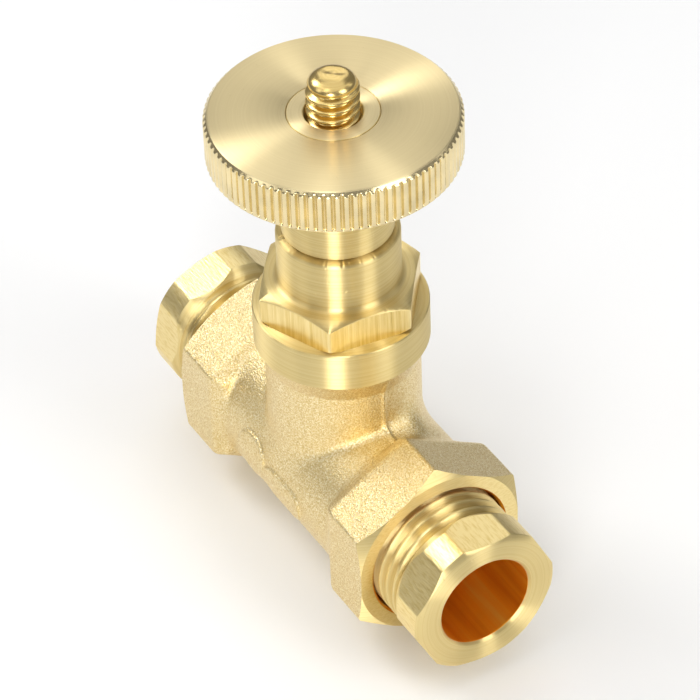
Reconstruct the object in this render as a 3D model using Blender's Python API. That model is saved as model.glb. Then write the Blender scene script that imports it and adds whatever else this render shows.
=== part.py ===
"""Needle valve: globe-pattern brass body, screwed bonnet, rising spindle with a knurled
handwheel, and a male compression nut with an olive at each end.

Frame: X runs along the ports, Z up along the spindle, origin where the two axes cross.
"""
import math

import bmesh
import bpy
from mathutils import Matrix, Vector

MM = 0.001

# ---- driving dimensions, in millimetres -------------------------------------------------
GAP = 0.3                  # clearance kept between neighbouring pieces

BARREL_R = 10.2            # forged barrel along X
END_X = 21.5               # port faces of the body
END_HEX_AF = 22.0          # hexagon across flats at each port
END_HEX_LENGTH = 7.4
END_HEX_DRAFT = (1.7, 1.1)  # slope from hexagon to barrel: along X, and across a flat
END_FACE_R = 11.1          # turned face inside the hexagon's chamfer
PORT_THREAD_R = 9.2        # bore that takes the nut's thread
PORT_THREAD_DEPTH = 6.9
OLIVE_SEAT_X = 11.8        # small end of the cone that the olive closes on
OLIVE_SEAT_FLARE = 1.7     # how much the cone opens on its way out
TUBE_R = 6.0               # nominal tube radius
TUBE_SOCKET_R = 6.2
TUBE_STOP_X = 9.4

BOSS_R = 9.4
RING_R = 10.6              # machined ring round the top of the boss
RING_TOP_Z = 24.4
RING_BOTTOM_Z = 19.3
RING_CONE_Z = 16.6         # the forging swells from here out to the ring
BONNET_BORE_R = 8.0
BONNET_BORE_Z = 12.6       # shoulder that the bonnet's washer lies on
CHAMBER_R = 5.5
SEAT_Z = 1.4               # floor of the chamber
SEAT_EDGE_Z = 0.9          # the needle closes on the orifice's chamfer here
ORIFICE_R = 1.6
PASSAGE_R = 2.2
INLET_Z = -2.2             # passage below the seat, from +X
OUTLET_Z = 3.7             # passage above the seat, to -X

BONNET_SHANK_R = BONNET_BORE_R - GAP
BONNET_SHANK_Z = 14.2
BONNET_HEX_AF = 18.0
BONNET_HEX_TURN = 22.0     # degrees from +X to a corner
BONNET_HEX_TOP_Z = 28.6
BONNET_HEX_FACE_R = 8.9    # round top face inside the hexagon's chamfer
NECK_R = 7.4
NECK_TOP_Z = 35.6
NECK_CHAMFER = 0.6
SPINDLE_BORE_R = 4.9
SPINDLE_BORE_ROOF_Z = 26.7

SPINDLE_R = 3.15           # 1/4 inch screw
SPINDLE_TOP_Z = 58.0
LAND_R = 4.6
LAND_Z = (11.0, 21.0)
GROOVE_R = 3.1
GROOVE_HEIGHT = 2.0
LOWER_O_RING_Z = 15.5
UPPER_O_RING_Z = 18.7
O_RING_SECTION_R = 0.6
NEEDLE_SOCKET_R = 2.1
NEEDLE_SOCKET_ROOF_Z = 13.6
CLIP_Z = 12.4
CLIP_HEIGHT = 0.4

NEEDLE_TIP_Z = -1.7
NEEDLE_HALF_ANGLE = 15.0   # degrees
NEEDLE_BODY_R = 2.4
NEEDLE_SHANK_R = 1.8

HUB_R = 6.7
HUB_BOTTOM_Z = 36.1
WHEEL_R = 15.0
WHEEL_TOP_Z = 52.6
WHEEL_THICKNESS = 6.0
WHEEL_CHAMFER = 0.5
WHEEL_HOLE_R = 5.5
KNURL_TEETH = 92
KNURL_DEPTH = 0.25
HUB_SCREW_TURN = 150.0     # degrees round from +X
HUB_SCREW_Z = 41.3
HUB_SCREW_R = 1.5
HUB_SCREW_KEY_AF = 1.5

NUT_FACE_X = 31.7
NUT_HEAD_LENGTH = 6.0
NUT_HEX_AF = 18.15
NUT_CORNER_R = 9.62        # the hexagon's corners are turned down to this radius
NUT_FACE_R = 8.9
NUT_THREAD_R = PORT_THREAD_R - GAP
NUT_END_X = 18.0
NUT_TURN = {"front": 26.5, "rear": 10.0}   # how far each nut's corners are turned, degrees
OLIVE_X = (14.5, 19.5)
OLIVE_R = 7.2
OLIVE_BORE_R = 6.15

ROUND = 40                 # facets on the large turned pieces
SMALL_ROUND = 24
TINY_ROUND = 12
OFFSET = 2.6               # degrees; keeps two shapes' facets from meeting edge to edge

SLOPE_30 = math.tan(math.radians(30))
BRASS = (0.78, 0.64, 0.36)


# ---- materials --------------------------------------------------------------------------


def material(name, colour, roughness, metallic):
    made = bpy.data.materials.new(name)
    made.use_nodes = True
    shader = made.node_tree.nodes["Principled BSDF"]
    shader.inputs["Base Color"].default_value = (*colour, 1.0)
    shader.inputs["Roughness"].default_value = roughness
    shader.inputs["Metallic"].default_value = metallic
    return made


def brass(name, roughness=0.28, shade=1.0):
    return material(name, tuple(channel * shade for channel in BRASS), roughness, 1.0)


def rubber(name):
    return material(name, (0.03, 0.03, 0.03), 0.6, 0.0)


# ---- shapes -----------------------------------------------------------------------------


def clear_scene():
    for item in list(bpy.data.objects):
        bpy.data.objects.remove(item, do_unlink=True)


def along(bm, axis):
    """Lays a shape made along Z along another axis."""
    if axis == "X":
        bm.transform(Matrix.Rotation(math.radians(90), 4, "Y"))
    return bm


def turned(profile, facets=ROUND, axis="Z", turn=0.0, sweep=360.0):
    """Spins (radius, height) points about `axis`.

    A profile that starts at radius 0 also ends there and gives a solid piece; any other is
    closed into a ring. A sweep under 360 degrees leaves the ring split.
    """
    bm = bmesh.new()
    points = [bm.verts.new((radius, 0.0, height)) for radius, height in profile]
    whole = sweep >= 360.0
    if whole:
        geometry = points + [bm.edges.new(pair) for pair in zip(points, points[1:])]
        if profile[0][0] > 0.0:
            geometry.append(bm.edges.new((points[-1], points[0])))
    else:
        face = bm.faces.new(points)
        geometry = [face, *face.edges, *face.verts]
    bmesh.ops.spin(bm, geom=geometry, axis=(0, 0, 1), cent=(0, 0, 0),
                   angle=math.radians(sweep), steps=facets, use_merge=whole)
    bmesh.ops.remove_doubles(bm, verts=bm.verts, dist=1e-5)
    bm.transform(Matrix.Rotation(math.radians(turn), 4, "Z"))
    return along(bm, axis)


def hexagon(across_flats, low, high, axis="Z", turn=0.0):
    """A six-sided bar from `low` to `high`, with a corner `turn` degrees round."""
    corner_r = across_flats / 2 / math.cos(math.radians(30))
    return turned([(0, low), (corner_r, low), (corner_r, high), (0, high)], 6, axis, turn)


def cylinder(radius, low, high, facets=ROUND, axis="Z"):
    return turned([(0, low), (radius, low), (radius, high), (0, high)], facets, axis)


def mesh_object(name, bm, origin=(0, 0, 0), finish=None):
    """Makes an object of a shape given in the valve's frame, with its own origin."""
    bm.normal_update()
    bmesh.ops.recalc_face_normals(bm, faces=bm.faces)
    bm.transform(Matrix.Scale(MM, 4) @ Matrix.Translation(-Vector(origin)))
    mesh = bpy.data.meshes.new(name)
    bm.to_mesh(mesh)
    bm.free()
    mesh.shade_smooth()
    mesh.set_sharp_from_angle(angle=math.radians(30))
    if finish is not None:
        mesh.materials.append(finish)
    made = bpy.data.objects.new(name, mesh)
    made.location = Vector(origin) * MM
    bpy.context.collection.objects.link(made)
    return made


def tool(name, bm):
    """A hidden wire object that other pieces are joined to or cut by."""
    made = mesh_object(name, bm)
    made.hide_render = True
    made.display_type = "WIRE"
    return made


def boolean(target, operation, other):
    modifier = target.modifiers.new(other.name, "BOOLEAN")
    modifier.operation = operation
    modifier.solver = "EXACT"
    modifier.object = other


def add(target, name, bm):
    boolean(target, "UNION", tool(name, bm))


def cut(target, name, bm):
    boolean(target, "DIFFERENCE", tool(name, bm))


def keep_inside(target, name, bm):
    boolean(target, "INTERSECT", tool(name, bm))


def other_end(bm):
    """The same shape at the -X end, turned half way round Z."""
    bm.transform(Matrix.Diagonal((-1, -1, 1, 1)))
    return bm


def same_end(bm):
    return bm


def both_ends(shape):
    """Two copies of the shape that a function makes, one at each end, as one mesh."""
    pair = shape()
    other = bpy.data.meshes.new("other_end")
    turned_round = other_end(shape())
    turned_round.to_mesh(other)
    turned_round.free()
    pair.from_mesh(other)
    bpy.data.meshes.remove(other)
    return pair


def hang(children, name, origin):
    """Parents the pieces that move together to an empty on their joint's axis."""
    pivot = bpy.data.objects.new(name, None)
    pivot.location = Vector(origin) * MM
    pivot.empty_display_size = 0.01
    bpy.context.collection.objects.link(pivot)
    for child in children:
        child.location -= pivot.location
        child.parent = pivot


# ---- body and bonnet --------------------------------------------------------------------


def port_hexagon(name, place):
    """Hexagon at a port, corner up, drafted down to the barrel on the inside, its corners
    turned off at 30 degrees on the outside."""
    inner_x = END_X - END_HEX_LENGTH
    draft_x, draft_r = END_HEX_DRAFT
    to_corner = 1 / math.cos(math.radians(30))
    corner_r = END_HEX_AF / 2 * to_corner
    foot_r = corner_r - draft_r * to_corner
    port = tool(name, place(turned([
        (0, inner_x - draft_x), (foot_r, inner_x - draft_x), (corner_r, inner_x),
        (corner_r, END_X + 1), (0, END_X + 1)], 6, "X")))
    wide_r = corner_r + 1
    drop = (wide_r - END_FACE_R) * SLOPE_30
    envelope = [(0, inner_x - 3), (wide_r, inner_x - 3), (wide_r, END_X - drop),
                (END_FACE_R, END_X), (0, END_X)]
    keep_inside(port, f"{name}_envelope", place(turned(envelope, ROUND, "X", OFFSET)))
    return port


def port_bore():
    """Thread bore, olive cone and tube socket, one behind the other."""
    thread_x = END_X - PORT_THREAD_DEPTH
    cone_r = TUBE_SOCKET_R + OLIVE_SEAT_FLARE
    return turned([(0, TUBE_STOP_X), (TUBE_SOCKET_R, TUBE_STOP_X),
                   (TUBE_SOCKET_R, OLIVE_SEAT_X), (cone_r, thread_x),
                   (PORT_THREAD_R, thread_x + 0.4), (PORT_THREAD_R, END_X + 1),
                   (0, END_X + 1)], ROUND, "X")


def passage(reach, height, end_x):
    """A drilled way from a tube socket to the seat, with the drill's cone at its end."""
    bm = turned([(0, end_x - PASSAGE_R * SLOPE_30), (PASSAGE_R, end_x),
                 (PASSAGE_R, reach), (0, reach)], SMALL_ROUND, "X")
    bm.transform(Matrix.Translation((0, 0, height)))
    return bm


def make_body():
    barrel = turned([(0, 1 - END_X), (BARREL_R, 1 - END_X), (BARREL_R, END_X - 1),
                     (0, END_X - 1)], ROUND, "X", 180 / ROUND)
    body = mesh_object("body", barrel, finish=brass("forged_brass", 0.45))
    add(body, "boss", turned([(0, 0), (BOSS_R, 0), (BOSS_R, RING_CONE_Z),
                              (RING_R, RING_BOTTOM_Z), (RING_R, RING_TOP_Z),
                              (0, RING_TOP_Z)], turn=OFFSET / 2))
    boolean(body, "UNION", port_hexagon("front_port_hexagon", same_end))
    boolean(body, "UNION", port_hexagon("rear_port_hexagon", other_end))
    cut(body, "port_bores", both_ends(port_bore))
    cut(body, "bonnet_bore", turned([(0, SEAT_Z), (CHAMBER_R, SEAT_Z),
                                     (CHAMBER_R, BONNET_BORE_Z),
                                     (BONNET_BORE_R, BONNET_BORE_Z),
                                     (BONNET_BORE_R, RING_TOP_Z + 1), (0, RING_TOP_Z + 1)],
                                    turn=2 * OFFSET))
    wide = ORIFICE_R + SEAT_Z - SEAT_EDGE_Z
    cut(body, "orifice", turned([(0, INLET_Z), (ORIFICE_R, INLET_Z),
                                 (ORIFICE_R, SEAT_EDGE_Z), (wide + 0.5, SEAT_Z + 0.5),
                                 (0, SEAT_Z + 0.5)], SMALL_ROUND, turn=OFFSET))
    cut(body, "inlet", passage(TUBE_STOP_X + 1, INLET_Z, -ORIFICE_R))
    cut(body, "outlet", other_end(passage(TUBE_STOP_X + 1, OUTLET_Z, 0.0)))
    return body


def make_bonnet():
    hex_z = RING_TOP_Z + GAP
    bonnet = mesh_object("bonnet", hexagon(BONNET_HEX_AF, hex_z - 1, BONNET_HEX_TOP_Z + 1,
                                           turn=BONNET_HEX_TURN),
                         finish=brass("turned_brass"))
    wide_r = BONNET_HEX_AF * 0.62
    drop = (wide_r - BONNET_HEX_FACE_R) * SLOPE_30
    keep_inside(bonnet, "bonnet_hexagon_envelope",
                turned([(0, hex_z), (BONNET_HEX_FACE_R + 0.8, hex_z), (wide_r, hex_z + 0.9),
                        (wide_r, BONNET_HEX_TOP_Z - drop),
                        (BONNET_HEX_FACE_R, BONNET_HEX_TOP_Z), (0, BONNET_HEX_TOP_Z)],
                       turn=OFFSET))
    add(bonnet, "bonnet_stem", turned([
        (0, BONNET_SHANK_Z), (BONNET_SHANK_R - 0.6, BONNET_SHANK_Z),
        (BONNET_SHANK_R, BONNET_SHANK_Z + 0.6), (BONNET_SHANK_R, BONNET_HEX_TOP_Z),
        (NECK_R, BONNET_HEX_TOP_Z + 0.5), (NECK_R, NECK_TOP_Z - NECK_CHAMFER),
        (NECK_R - NECK_CHAMFER, NECK_TOP_Z), (0, NECK_TOP_Z)]))
    tapped_r = SPINDLE_R + GAP
    cut(bonnet, "bonnet_bore_tool", turned([
        (0, BONNET_SHANK_Z - 1), (SPINDLE_BORE_R, BONNET_SHANK_Z - 1),
        (SPINDLE_BORE_R, SPINDLE_BORE_ROOF_Z), (tapped_r, SPINDLE_BORE_ROOF_Z + 0.8),
        (tapped_r, NECK_TOP_Z - 0.6), (tapped_r + 1.1, NECK_TOP_Z + 0.5),
        (0, NECK_TOP_Z + 0.5)]))
    return bonnet


def make_bonnet_washer():
    return mesh_object("bonnet_washer", turned([
        (CHAMBER_R + GAP, BONNET_BORE_Z + GAP), (BONNET_BORE_R - GAP, BONNET_BORE_Z + GAP),
        (BONNET_BORE_R - GAP, BONNET_SHANK_Z - GAP), (CHAMBER_R + GAP, BONNET_SHANK_Z - GAP)]),
        finish=material("copper", (0.85, 0.45, 0.28), 0.4, 1.0))


# ---- spindle and needle -----------------------------------------------------------------


def groove(centre_z):
    """Outline of one O-ring groove, walked upwards."""
    half = GROOVE_HEIGHT / 2
    return [(LAND_R, centre_z - half), (GROOVE_R, centre_z - half),
            (GROOVE_R, centre_z + half), (LAND_R, centre_z + half)]


def make_spindle():
    clip_half = CLIP_HEIGHT / 2 + GAP
    clip_groove_r = NEEDLE_SOCKET_R + 0.6
    outline = [
        (0, NEEDLE_SOCKET_ROOF_Z), (NEEDLE_SOCKET_R, NEEDLE_SOCKET_ROOF_Z),
        (NEEDLE_SOCKET_R, CLIP_Z + clip_half), (clip_groove_r, CLIP_Z + clip_half),
        (clip_groove_r, CLIP_Z - clip_half), (NEEDLE_SOCKET_R, CLIP_Z - clip_half),
        (NEEDLE_SOCKET_R, LAND_Z[0]), (LAND_R - 0.4, LAND_Z[0]), (LAND_R, LAND_Z[0] + 0.4),
        *groove(LOWER_O_RING_Z), *groove(UPPER_O_RING_Z),
        (LAND_R, LAND_Z[1] - 0.4), (LAND_R - 0.4, LAND_Z[1]), (SPINDLE_R, LAND_Z[1]),
        (SPINDLE_R, SPINDLE_TOP_Z - 0.8), (SPINDLE_R - 0.8, SPINDLE_TOP_Z),
        (0, SPINDLE_TOP_Z)]
    return mesh_object("spindle", turned(outline, SMALL_ROUND), finish=brass("spindle_brass"))


def make_o_ring(name, centre_z):
    centre_r = (GROOVE_R + SPINDLE_BORE_R) / 2
    steps = 8
    section = [(centre_r + O_RING_SECTION_R * math.cos(math.tau * k / steps),
                centre_z + O_RING_SECTION_R * math.sin(math.tau * k / steps))
               for k in range(steps)]
    return mesh_object(name, turned(section, SMALL_ROUND), (0, 0, centre_z), rubber(name))


def make_needle_clip():
    """A split wire ring, half in the needle's groove and half in the spindle's."""
    inner_r = NEEDLE_SHANK_R - GAP
    outer_r = NEEDLE_SOCKET_R + GAP
    low = CLIP_Z - CLIP_HEIGHT / 2
    high = CLIP_Z + CLIP_HEIGHT / 2
    ring = turned([(inner_r, low), (outer_r, low), (outer_r, high), (inner_r, high)],
                  SMALL_ROUND, sweep=310.0)
    return mesh_object("needle_clip", ring, (0, 0, CLIP_Z),
                       material("spring_steel", (0.6, 0.6, 0.62), 0.3, 1.0))


def make_needle():
    slope = math.tan(math.radians(NEEDLE_HALF_ANGLE))
    seat_r = ORIFICE_R - GAP
    tip_r = seat_r - (SEAT_EDGE_Z - NEEDLE_TIP_Z) * slope
    cone_top_z = SEAT_EDGE_Z + (NEEDLE_BODY_R - seat_r) / slope
    clip_half = CLIP_HEIGHT / 2 + GAP
    groove_r = NEEDLE_SHANK_R - 2 * GAP
    shank_top_z = NEEDLE_SOCKET_ROOF_Z - GAP
    outline = [
        (0, NEEDLE_TIP_Z - tip_r * 0.5), (tip_r * 0.7, NEEDLE_TIP_Z - tip_r * 0.3),
        (tip_r, NEEDLE_TIP_Z), (NEEDLE_BODY_R, cone_top_z),
        (NEEDLE_BODY_R, LAND_Z[0] - 0.6), (NEEDLE_SHANK_R, LAND_Z[0] - 0.6),
        (NEEDLE_SHANK_R, CLIP_Z - clip_half), (groove_r, CLIP_Z - clip_half),
        (groove_r, CLIP_Z + clip_half), (NEEDLE_SHANK_R, CLIP_Z + clip_half),
        (NEEDLE_SHANK_R, shank_top_z - 0.4), (NEEDLE_SHANK_R * 0.6, shank_top_z),
        (0, shank_top_z)]
    return mesh_object("needle", turned(outline, SMALL_ROUND),
                       finish=material("needle_steel", (0.68, 0.67, 0.64), 0.25, 1.0))


# ---- hub and handwheel ------------------------------------------------------------------


def hub_screw_place():
    """Turns +Z at the origin into the grub screw's outward axis."""
    return (Matrix.Translation((0, 0, HUB_SCREW_Z))
            @ Matrix.Rotation(math.radians(HUB_SCREW_TURN), 4, "Z")
            @ Matrix.Rotation(math.radians(90), 4, "Y"))


def make_hub():
    tapped_r = SPINDLE_R + GAP
    spigot_r = WHEEL_HOLE_R - GAP
    shoulder_z = WHEEL_TOP_Z - WHEEL_THICKNESS - GAP
    hub = mesh_object("hub", turned([
        (tapped_r, HUB_BOTTOM_Z), (HUB_R - 0.3, HUB_BOTTOM_Z), (HUB_R, HUB_BOTTOM_Z + 0.3),
        (HUB_R, shoulder_z), (spigot_r, shoulder_z), (spigot_r, WHEEL_TOP_Z),
        (tapped_r + 0.2, WHEEL_TOP_Z), (tapped_r, WHEEL_TOP_Z - 0.2)]),
        finish=brass("hub_brass"))
    hole = cylinder(HUB_SCREW_R + GAP, SPINDLE_R - 1, HUB_R + 1, TINY_ROUND)
    hole.transform(hub_screw_place())
    cut(hub, "hub_screw_hole", hole)
    return hub


def make_hub_screw():
    bm = cylinder(HUB_SCREW_R, SPINDLE_R + GAP, HUB_R - 0.4, TINY_ROUND)
    bm.transform(hub_screw_place())
    screw = mesh_object("hub_screw", bm, (0, 0, HUB_SCREW_Z),
                        material("screw_steel", (0.08, 0.08, 0.085), 0.35, 1.0))
    key = hexagon(HUB_SCREW_KEY_AF, HUB_R - 1.6, HUB_R)
    key.transform(hub_screw_place())
    cut(screw, "hub_screw_key", key)
    return screw


def knurled_radius(step):
    """Crests and valleys alternate round the rim."""
    return WHEEL_R if step % 2 == 0 else WHEEL_R - KNURL_DEPTH


def make_handwheel():
    """A disc with a straight knurl, both rims chamfered, and the hub's hole."""
    top = WHEEL_TOP_Z
    bottom = WHEEL_TOP_Z - WHEEL_THICKNESS
    face_r = WHEEL_R - WHEEL_CHAMFER
    steps = 2 * KNURL_TEETH
    bm = bmesh.new()
    sections = []
    for step in range(steps):
        angle = math.tau * step / steps
        rim_r = knurled_radius(step)
        fall = rim_r - face_r
        outline = [(WHEEL_HOLE_R, bottom), (face_r, bottom), (rim_r, bottom + fall),
                   (rim_r, top - fall), (face_r, top), (WHEEL_HOLE_R, top)]
        sections.append([bm.verts.new((radius * math.cos(angle), radius * math.sin(angle), z))
                         for radius, z in outline])
    for here, there in zip(sections, sections[1:] + sections[:1]):
        for k in range(len(here)):
            after = (k + 1) % len(here)
            bm.faces.new((here[k], there[k], there[after], here[after]))
    return mesh_object("handwheel", bm, (0, 0, top), brass("wheel_brass", 0.32))


# ---- compression ends -------------------------------------------------------------------


def make_nut(name, place, turn):
    head_x = NUT_FACE_X - NUT_HEAD_LENGTH
    nut = mesh_object(name, place(hexagon(NUT_HEX_AF, head_x - 1, NUT_FACE_X + 1, "X",
                                          turn)),
                      finish=brass(f"{name}_brass"))
    drop = (NUT_CORNER_R - NUT_FACE_R) * SLOPE_30
    keep_inside(nut, f"{name}_envelope", place(turned([
        (0, head_x), (NUT_FACE_R + 0.3, head_x), (NUT_CORNER_R, head_x + drop),
        (NUT_CORNER_R, NUT_FACE_X - drop), (NUT_FACE_R, NUT_FACE_X), (0, NUT_FACE_X)],
        ROUND, "X", OFFSET)))
    add(nut, f"{name}_shank", place(turned([
        (0, NUT_END_X), (NUT_THREAD_R - 0.6, NUT_END_X), (NUT_THREAD_R, NUT_END_X + 0.6),
        (NUT_THREAD_R, head_x + 1), (0, head_x + 1)], ROUND, "X")))
    cone_r = OLIVE_R + 0.6
    cone_end_x = NUT_END_X + (cone_r - TUBE_R) / SLOPE_30
    cut(nut, f"{name}_bore", place(turned([
        (0, NUT_END_X - 1), (cone_r + SLOPE_30, NUT_END_X - 1), (TUBE_R, cone_end_x),
        (TUBE_R, NUT_FACE_X - 0.3), (TUBE_R + 0.8, NUT_FACE_X + 0.5),
        (0, NUT_FACE_X + 0.5)], ROUND, "X")))
    return nut


def make_olive(name, place):
    inner_x, outer_x = OLIVE_X
    return mesh_object(name, place(turned([
        (OLIVE_BORE_R, inner_x), (6.6, inner_x), (OLIVE_R, inner_x + 1.0),
        (OLIVE_R, outer_x - 1.5), (6.55, outer_x), (OLIVE_BORE_R, outer_x)], ROUND, "X")),
        finish=brass(f"{name}_brass", 0.35))


def build():
    clear_scene()
    make_body()
    make_bonnet()
    make_bonnet_washer()
    make_needle()
    rising = [make_spindle(), make_o_ring("spindle_o_ring_lower", LOWER_O_RING_Z),
              make_o_ring("spindle_o_ring_upper", UPPER_O_RING_Z), make_needle_clip(),
              make_hub(), make_hub_screw(), make_handwheel()]
    hang(rising, "handwheel_axis", (0, 0, WHEEL_TOP_Z))
    for side, place in (("front", same_end), ("rear", other_end)):
        make_nut(f"{side}_nut", place, NUT_TURN[side])
        make_olive(f"{side}_olive", place)


build()
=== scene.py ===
"""Needle valve, finished for rendering: a forged brass body with machined ends, a screwed
bonnet, a rising spindle with a knurled handwheel, and two compression nuts.

Every shape is built in millimetres in the valve's own frame: X along the ports, Z up the
spindle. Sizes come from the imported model's boxes, or are the named values below.
"""
import math

import bmesh
import bpy
import numpy as np
from mathutils import Matrix, Vector


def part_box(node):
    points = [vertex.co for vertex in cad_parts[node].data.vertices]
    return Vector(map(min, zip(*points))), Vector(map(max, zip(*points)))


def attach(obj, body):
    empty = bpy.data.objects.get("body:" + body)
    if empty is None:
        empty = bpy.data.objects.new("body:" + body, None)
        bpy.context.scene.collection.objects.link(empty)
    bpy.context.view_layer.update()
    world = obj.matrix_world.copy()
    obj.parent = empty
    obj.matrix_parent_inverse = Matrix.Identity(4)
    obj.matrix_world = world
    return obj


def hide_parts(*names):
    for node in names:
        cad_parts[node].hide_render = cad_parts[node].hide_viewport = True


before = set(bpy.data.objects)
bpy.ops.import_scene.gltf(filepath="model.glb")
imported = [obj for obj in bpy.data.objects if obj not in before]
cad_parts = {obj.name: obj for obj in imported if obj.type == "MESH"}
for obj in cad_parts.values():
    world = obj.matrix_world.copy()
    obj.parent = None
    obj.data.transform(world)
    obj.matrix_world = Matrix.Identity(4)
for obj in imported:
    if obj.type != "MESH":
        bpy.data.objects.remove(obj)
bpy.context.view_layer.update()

MM = 0.001


def lowest(node):
    return [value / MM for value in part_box(node)[0]]


def highest(node):
    return [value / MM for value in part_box(node)[1]]


# ---- sizes, in millimetres --------------------------------------------------------------

END_X = highest("body")[0]             # port faces of the body
RING_TOP_Z = highest("body")[2]
BARREL_R = 10.2
BOSS_R = 9.4
WEB_R = 0.9                            # radius where the boss meets the barrel and hexagons
WEB_SWELL_R = 3.6                      # how much larger it is on the fuller side
WEB_SWELL_Y = (4.2, 3.2)               # where that swelling is, and its width
RING_R = 10.6
RING_BOTTOM_Z = 19.3
RING_CONE_Z = 16.6                     # the forging swells from here out to the ring
END_HEX_AF = 22.0
END_HEX_INNER_X = END_X - 7.4          # where the hexagon's flats end
END_HEX_FOOT_X = END_HEX_INNER_X - 1.7  # foot of the drafted inner side
END_HEX_FOOT_DROP = 1.1
FLASH_RIDGE = (0.24, 0.27)             # height and half width of the forging's parting line
FLASH_RIDGE_Z = (13.6, 4.6)            # its middle, and its reach up and down
FLASH_RIDGE_X = (6.0, 12.3)
PAD_HEIGHT = 0.32                      # the blank marking pad, as x and z limits of two parts
PAD_BAR = (-2.6, 6.0, -3.1, 1.2)
PAD_DISC = (-8.6, -2.4, -3.1, 3.1)
STOCK = 1.0                            # metal that machining takes off the forging's ends
END_FACE_R = 11.1
PORT_MOUTH_R = 9.2
PORT_THREAD_X = END_X - 6.9
PORT_LEAD_IN = 0.45
TUBE_SOCKET_R = 6.2
TUBE_STOP_X = 9.4
OLIVE_SEAT_X = 11.8
OLIVE_SEAT_FLARE = 1.7
BONNET_BORE_R = 8.0
BONNET_BORE_Z = 12.6
CHAMBER_R = 5.5
SEAT_Z = 1.4
SEAT_EDGE_Z = 0.9
ORIFICE_R = 1.6
PASSAGE_R = 2.2
INLET_Z = -2.2
OUTLET_Z = 3.7

BONNET_BOTTOM_Z = lowest("bonnet")[2]
NECK_TOP_Z = highest("bonnet")[2]
BONNET_SHANK_R = 7.7
BONNET_HEX_AF = 18.0
BONNET_HEX_TURN = 22.0
BONNET_HEX_Z = (RING_TOP_Z + 0.01, 28.6)
BONNET_HEX_FACE_R = 8.9
BONNET_HEX_SEAT_R = BONNET_HEX_FACE_R + 0.8
BONNET_HEX_UNDER_SLOPE = 0.55
BONNET_SHANK_CHAMFER = 0.6
NECK_R = 7.4
NECK_FILLET = 0.55
SPINDLE_BORE_R = 4.9
SPINDLE_BORE_ROOF_Z = 26.7

SPINDLE_TOP_Z = highest("spindle")[2]
SPINDLE_R = 3.15
SPINDLE_PITCH = 1.27
SPINDLE_THREAD_DEPTH = 0.72
SPINDLE_THREAD_Z = 24.0                # the thread starts above the land
SPINDLE_DOME = 1.05
PUNCH_MARKS = ((-0.9, 0.1), (0.1, 1.1))
PUNCH_DEPTH = 0.17
LAND_R = 4.6
LAND_CHAMFER = 0.4
LAND_Z = (lowest("spindle")[2], 21.0)
GROOVE_R = 3.1
GROOVE_HEIGHT = 2.0
O_RING_Z = {"spindle_o_ring_lower": 15.5, "spindle_o_ring_upper": 18.7}
NEEDLE_SOCKET_R = 2.1
NEEDLE_SOCKET_ROOF_Z = 13.6
CLIP_GROOVE_Z = (11.9, 12.9)
CLIP_R = 1.95
CLIP_TURN = 310.0
NEEDLE_TIP_Z = -1.7
NEEDLE_TAPER = 15.0
NEEDLE_BODY_R = 2.4
NEEDLE_SHANK_R = 1.8
NEEDLE_GROOVE_R = 1.2

HUB_R = highest("hub")[0]
HUB_BOTTOM_Z = NECK_TOP_Z + 0.2      # just clear of the bonnet when the valve is shut
HUB_EDGE = 0.25
HUB_STEP = (0.3, 0.4)                  # the smaller neck where the hub meets the wheel
TAPPED_R = SPINDLE_R + 0.3
WHEEL_R = highest("handwheel")[0]
WHEEL_Z = (lowest("handwheel")[2], highest("handwheel")[2])
WHEEL_HOLE_R = 5.5
WHEEL_CHAMFER = 0.6
KNURL_TEETH = 92
KNURL_DEPTH = 0.40
KNURL_CROWN = 0.06                     # how much a tooth's crest is rounded
KNURL_LAND = 0.35                      # share of a tooth's half width that is crest
HUB_SCREW_TURN = 150.0
HUB_SCREW_Z = 41.3
HUB_SCREW_R = 1.5
HUB_SCREW_KEY_AF = 1.5

NUT_FACE_X = highest("front_nut")[0]
NUT_END_X = lowest("front_nut")[0]
NUT_HEAD_X = NUT_FACE_X - 6.0
NUT_HEX_AF = 18.15
NUT_CORNER_R = 9.62
NUT_FACE_R = 8.9
NUT_THREAD_R = 8.9
NUT_THREAD_DEPTH = 0.8
NUT_PITCH = 1.5
NUT_CONE_R = 7.8
NUT_BORE_CHAMFER = 0.35
NUT_TURN = {"front": 26.5, "rear": 10.0}
TUBE_R = 6.0
OLIVE_BORE_R = 6.15
OLIVE_CROWN_R = 7.2
O_RING_R = 0.6

ROUND = 360                            # steps round a turned piece
SLOPE_30 = math.tan(math.radians(30))
FORGING_STEP = 0.21   # cell of the grid that the forging is cut from


# ---- node materials ---------------------------------------------------------------------


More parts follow.
